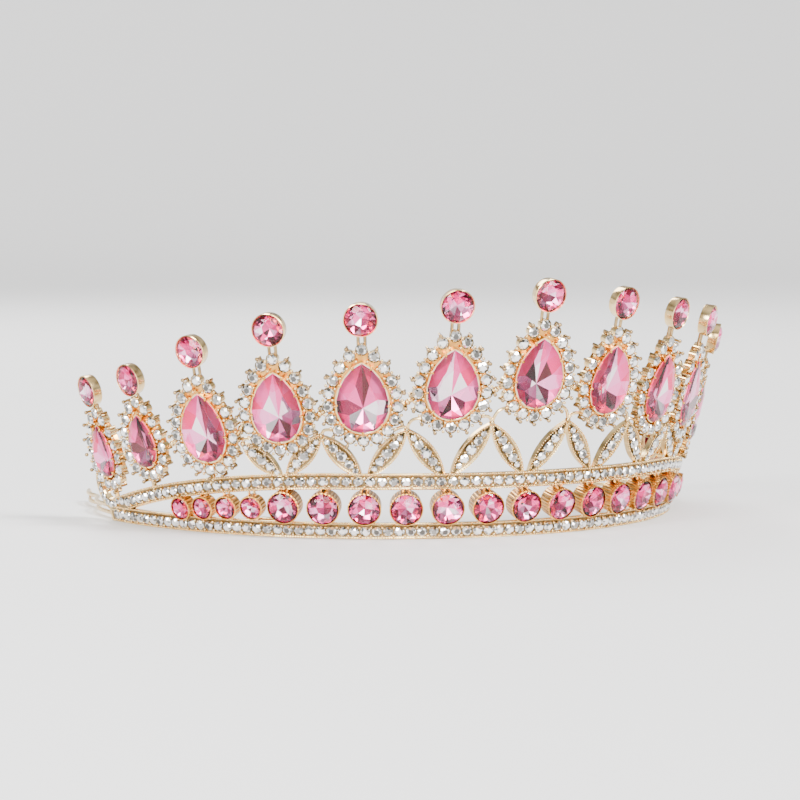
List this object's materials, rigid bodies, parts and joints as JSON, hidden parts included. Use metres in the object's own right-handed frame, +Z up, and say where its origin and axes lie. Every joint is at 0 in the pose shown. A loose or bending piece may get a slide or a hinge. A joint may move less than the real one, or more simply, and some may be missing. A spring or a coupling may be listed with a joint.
{
  "type": "princess crown",
  "caption": "Open-backed princess tiara of pale gold openwork with pear and round pink crystals, standing on its lower rail.",
  "frame": {"origin": "on the surface that the crown stands on, under the middle of its bounding box", "axes": "+Z up, -Y the front, toward which the tall middle cluster faces, +X across, as seen from the front to the right"},
  "size_m": [0.1826, 0.1439, 0.0661],
  "materials": {
    "pale_gold": "polished pale gold plate",
    "pink_crystal": "faceted pink crystal with a mirrored back"
  },
  "bodies": {
    "root": {"crown_frame": "pale_gold", "pear_stone_left_1": "pink_crystal", "pear_stone_left_2": "pink_crystal", "pear_stone_left_3": "pink_crystal", "pear_stone_left_4": "pink_crystal", "pear_stone_left_5": "pink_crystal", "pear_stone_left_6": "pink_crystal", "pear_stone_middle": "pink_crystal", "pear_stone_right_1": "pink_crystal", "pear_stone_right_2": "pink_crystal", "pear_stone_right_3": "pink_crystal", "pear_stone_right_4": "pink_crystal", "pear_stone_right_5": "pink_crystal", "pear_stone_right_6": "pink_crystal", "rail_stone_left_1": "pink_crystal", "rail_stone_left_10": "pink_crystal", "rail_stone_left_2": "pink_crystal", "rail_stone_left_3": "pink_crystal", "rail_stone_left_4": "pink_crystal", "rail_stone_left_5": "pink_crystal", "rail_stone_left_6": "pink_crystal", "rail_stone_left_7": "pink_crystal", "rail_stone_left_8": "pink_crystal", "rail_stone_left_9": "pink_crystal", "rail_stone_middle": "pink_crystal", "rail_stone_right_1": "pink_crystal", "rail_stone_right_10": "pink_crystal", "rail_stone_right_2": "pink_crystal", "rail_stone_right_3": "pink_crystal", "rail_stone_right_4": "pink_crystal", "rail_stone_right_5": "pink_crystal", "rail_stone_right_6": "pink_crystal", "rail_stone_right_7": "pink_crystal", "rail_stone_right_8": "pink_crystal", "rail_stone_right_9": "pink_crystal", "side_wire_left": "pale_gold", "side_wire_right": "pale_gold", "top_stone_left_1": "pink_crystal", "top_stone_left_2": "pink_crystal", "top_stone_left_3": "pink_crystal", "top_stone_left_4": "pink_crystal", "top_stone_left_5": "pink_crystal", "top_stone_left_6": "pink_crystal", "top_stone_middle": "pink_crystal", "top_stone_right_1": "pink_crystal", "top_stone_right_2": "pink_crystal", "top_stone_right_3": "pink_crystal", "top_stone_right_4": "pink_crystal", "top_stone_right_5": "pink_crystal", "top_stone_right_6": "pink_crystal"}
  },
  "joints": []
}
